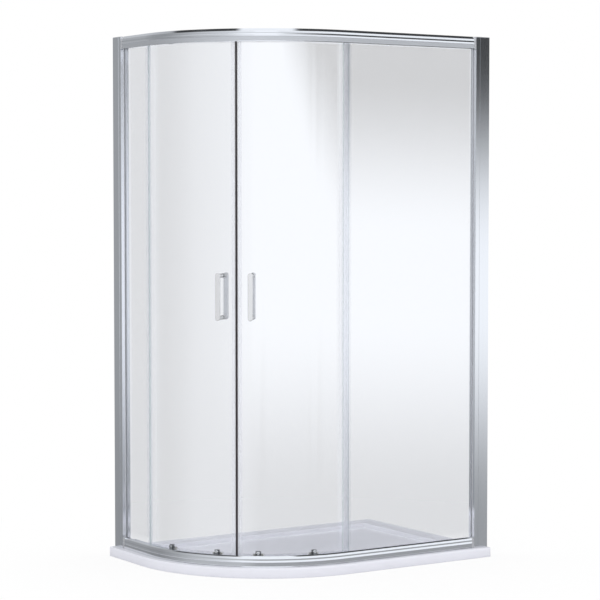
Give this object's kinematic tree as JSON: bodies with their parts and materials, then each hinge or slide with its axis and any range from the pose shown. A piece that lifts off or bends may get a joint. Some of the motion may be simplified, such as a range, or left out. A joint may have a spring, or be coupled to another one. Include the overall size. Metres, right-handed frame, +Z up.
{
  "type": "quadrant shower enclosure",
  "caption": "Offset quadrant shower enclosure on a low tray, with curved sliding doors on rollers, fixed side panels, bar handles and a polished metal frame.",
  "frame": {"origin": "centre of the tray's plan on the floor", "axes": "+Z up, +X along the long side towards the second wall, +Y towards the back wall; the curved doors face -X and -Y"},
  "size_m": [1.2, 0.8, 1.95],
  "materials": {
    "tray": "white gloss acrylic over stone resin, with a fine stipple",
    "waste_steel": "satin stainless steel",
    "waste_chrome": "polished chrome plate",
    "frame_aluminium": "polished, bright anodised extrusion",
    "connector_plastic": "silver plated moulding",
    "cap_plastic": "silver plated moulding",
    "screw_steel": "stainless steel",
    "gasket_dark": "dark grey extruded gasket",
    "buffer_rubber": "matt soft moulding",
    "seal_clear": "clear flexible extrusion",
    "clear_glass": "clear toughened safety glass, 6 mm",
    "magnet_black": "matt black bonded magnet",
    "handle_chrome": "polished chrome plate",
    "hanger_steel": "plated steel",
    "roller_plastic": "dark grey moulding",
    "wheel_nylon": "off-white nylon"
  },
  "bodies": {
    "enclosure": {"shower_tray": "tray", "waste_flange": "waste_steel", "waste_cover": "waste_chrome", "top_rail": "frame_aluminium", "bottom_rail": "frame_aluminium", "rail_connectors": "connector_plastic", "profile_caps": "cap_plastic", "frame_screws": "screw_steel", "glazing_gaskets": "gasket_dark", "door_stops": "buffer_rubber", "panel_edge_seals": "seal_clear", "wall_profile_left": "frame_aluminium", "side_profile_left": "frame_aluminium", "fixed_glass_left": "clear_glass", "wall_profile_right": "frame_aluminium", "side_profile_right": "frame_aluminium", "fixed_glass_right": "clear_glass"},
    "door_left": {"door_glass_left": "clear_glass", "magnet_profile_left": "seal_clear", "magnet_strip_left": "magnet_black", "trailing_seal_left": "seal_clear", "wipe_seal_left": "seal_clear", "handle_outer_left": "handle_chrome", "handle_inner_left": "handle_chrome", "handle_studs_left": "screw_steel", "top_hangers_left": "hanger_steel", "bottom_mounts_left": "roller_plastic", "roller_screws_left": "screw_steel", "bottom_spring_left_lead": "screw_steel", "bottom_spring_left_trail": "screw_steel"},
    "bottom_carrier_left_lead": {"bottom_carrier_left_lead": "roller_plastic"},
    "top_wheel_left_lead": {"top_wheel_left_lead": "wheel_nylon"},
    "bottom_wheel_left_lead_a": {"bottom_wheel_left_lead_a": "wheel_nylon"},
    "bottom_wheel_left_lead_b": {"bottom_wheel_left_lead_b": "wheel_nylon"},
    "bottom_carrier_left_trail": {"bottom_carrier_left_trail": "roller_plastic"},
    "top_wheel_left_trail": {"top_wheel_left_trail": "wheel_nylon"},
    "bottom_wheel_left_trail_a": {"bottom_wheel_left_trail_a": "wheel_nylon"},
    "bottom_wheel_left_trail_b": {"bottom_wheel_left_trail_b": "wheel_nylon"},
    "door_right": {"door_glass_right": "clear_glass", "magnet_profile_right": "seal_clear", "magnet_strip_right": "magnet_black", "trailing_seal_right": "seal_clear", "wipe_seal_right": "seal_clear", "handle_outer_right": "handle_chrome", "handle_inner_right": "handle_chrome", "handle_studs_right": "screw_steel", "top_hangers_right": "hanger_steel", "bottom_mounts_right": "roller_plastic", "roller_screws_right": "screw_steel", "bottom_spring_right_lead": "screw_steel", "bottom_spring_right_trail": "screw_steel"},
    "bottom_carrier_right_lead": {"bottom_carrier_right_lead": "roller_plastic"},
    "top_wheel_right_lead": {"top_wheel_right_lead": "wheel_nylon"},
    "bottom_wheel_right_lead_a": {"bottom_wheel_right_lead_a": "wheel_nylon"},
    "bottom_wheel_right_lead_b": {"bottom_wheel_right_lead_b": "wheel_nylon"},
    "bottom_carrier_right_trail": {"bottom_carrier_right_trail": "roller_plastic"},
    "top_wheel_right_trail": {"top_wheel_right_trail": "wheel_nylon"},
    "bottom_wheel_right_trail_a": {"bottom_wheel_right_trail_a": "wheel_nylon"},
    "bottom_wheel_right_trail_b": {"bottom_wheel_right_trail_b": "wheel_nylon"}
  },
  "joints": [
    {"name": "door_left_turn", "type": "hinge", "parent": "enclosure", "child": "door_left", "pos_m": [-0.03173, 0.15813, 1], "axis": [0, 0, -1], "range_deg": [0, 20]},
    {"name": "carrier_left_lead_lift", "type": "slide", "parent": "door_left", "child": "bottom_carrier_left_lead", "axis": [0, 0, 1], "range_m": [0, 0.007], "stiffness_N_per_m": 400, "springref_m": -0.005, "deforming": ["bottom_spring_left_lead"]},
    {"name": "top_wheel_left_lead_spin", "type": "hinge", "parent": "door_left", "child": "top_wheel_left_lead", "pos_m": [-0.44723, -0.1386, 1.9363], "axis": [-0.809, -0.5878, 0], "range_deg": [0, 1278]},
    {"name": "bottom_wheel_left_lead_a_spin", "type": "hinge", "parent": "bottom_carrier_left_lead", "child": "bottom_wheel_left_lead_a", "pos_m": [-0.4315, -0.14324, 0.0693], "axis": [-0.809, -0.5878, 0], "range_deg": [0, 1253]},
    {"name": "bottom_wheel_left_lead_b_spin", "type": "hinge", "parent": "bottom_carrier_left_lead", "child": "bottom_wheel_left_lead_b", "pos_m": [-0.44678, -0.12221, 0.0693], "axis": [-0.809, -0.5878, 0], "range_deg": [0, 1254]},
    {"name": "carrier_left_trail_lift", "type": "slide", "parent": "door_left", "child": "bottom_carrier_left_trail", "axis": [0, 0, 1], "range_m": [0, 0.007], "stiffness_N_per_m": 400, "springref_m": -0.005, "deforming": ["bottom_spring_left_trail"]},
    {"name": "top_wheel_left_trail_spin", "type": "hinge", "parent": "door_left", "child": "top_wheel_left_trail", "pos_m": [-0.53027, 0.04792, 1.9363], "axis": [-0.9781, -0.2079, 0], "range_deg": [0, 1278]},
    {"name": "bottom_wheel_left_trail_a_spin", "type": "hinge", "parent": "bottom_carrier_left_trail", "child": "bottom_wheel_left_trail_a", "pos_m": [-0.51779, 0.03728, 0.0693], "axis": [-0.9781, -0.2079, 0], "range_deg": [0, 1254]},
    {"name": "bottom_wheel_left_trail_b_spin", "type": "hinge", "parent": "bottom_carrier_left_trail", "child": "bottom_wheel_left_trail_b", "pos_m": [-0.52319, 0.06271, 0.0693], "axis": [-0.9781, -0.2079, 0], "range_deg": [0, 1253]},
    {"name": "door_right_turn", "type": "hinge", "parent": "enclosure", "child": "door_right", "pos_m": [-0.04187, 0.16827, 1], "axis": [0, 0, 1], "range_deg": [0, 20]},
    {"name": "carrier_right_lead_lift", "type": "slide", "parent": "door_right", "child": "bottom_carrier_right_lead", "axis": [0, 0, 1], "range_m": [0, 0.007], "stiffness_N_per_m": 400, "springref_m": -0.005, "deforming": ["bottom_spring_right_lead"]},
    {"name": "top_wheel_right_lead_spin", "type": "hinge", "parent": "door_right", "child": "top_wheel_right_lead", "pos_m": [-0.3386, -0.24723, 1.9363], "axis": [0.5878, 0.809, 0], "range_deg": [0, 1278]},
    {"name": "bottom_wheel_right_lead_a_spin", "type": "hinge", "parent": "bottom_carrier_right_lead", "child": "bottom_wheel_right_lead_a", "pos_m": [-0.34324, -0.2315, 0.0693], "axis": [0.5878, 0.809, 0], "range_deg": [0, 1253]},
    {"name": "bottom_wheel_right_lead_b_spin", "type": "hinge", "parent": "bottom_carrier_right_lead", "child": "bottom_wheel_right_lead_b", "pos_m": [-0.32221, -0.24678, 0.0693], "axis": [0.5878, 0.809, 0], "range_deg": [0, 1254]},
    {"name": "carrier_right_trail_lift", "type": "slide", "parent": "door_right", "child": "bottom_carrier_right_trail", "axis": [0, 0, 1], "range_m": [0, 0.007], "stiffness_N_per_m": 400, "springref_m": -0.005, "deforming": ["bottom_spring_right_trail"]},
    {"name": "top_wheel_right_trail_spin", "type": "hinge", "parent": "door_right", "child": "top_wheel_right_trail", "pos_m": [-0.15208, -0.33027, 1.9363], "axis": [0.2079, 0.9781, 0], "range_deg": [0, 1278]},
    {"name": "bottom_wheel_right_trail_a_spin", "type": "hinge", "parent": "bottom_carrier_right_trail", "child": "bottom_wheel_right_trail_a", "pos_m": [-0.16272, -0.31779, 0.0693], "axis": [0.2079, 0.9781, 0], "range_deg": [0, 1254]},
    {"name": "bottom_wheel_right_trail_b_spin", "type": "hinge", "parent": "bottom_carrier_right_trail", "child": "bottom_wheel_right_trail_b", "pos_m": [-0.13729, -0.32319, 0.0693], "axis": [0.2079, 0.9781, 0], "range_deg": [0, 1253]}
  ],
  "couplings": [
    {"joint": "top_wheel_left_lead_spin", "follows": "door_left_turn", "ratio": 63.822},
    {"joint": "bottom_wheel_left_lead_a_spin", "follows": "door_left_turn", "ratio": 62.58},
    {"joint": "bottom_wheel_left_lead_b_spin", "follows": "door_left_turn", "ratio": 62.607},
    {"joint": "top_wheel_left_trail_spin", "follows": "door_left_turn", "ratio": 63.822},
    {"joint": "bottom_wheel_left_trail_a_spin", "follows": "door_left_turn", "ratio": 62.607},
    {"joint": "bottom_wheel_left_trail_b_spin", "follows": "door_left_turn", "ratio": 62.58},
    {"joint": "top_wheel_right_lead_spin", "follows": "door_right_turn", "ratio": 63.822},
    {"joint": "bottom_wheel_right_lead_a_spin", "follows": "door_right_turn", "ratio": 62.58},
    {"joint": "bottom_wheel_right_lead_b_spin", "follows": "door_right_turn", "ratio": 62.607},
    {"joint": "top_wheel_right_trail_spin", "follows": "door_right_turn", "ratio": 63.822},
    {"joint": "bottom_wheel_right_trail_a_spin", "follows": "door_right_turn", "ratio": 62.607},
    {"joint": "bottom_wheel_right_trail_b_spin", "follows": "door_right_turn", "ratio": 62.58}
  ]
}
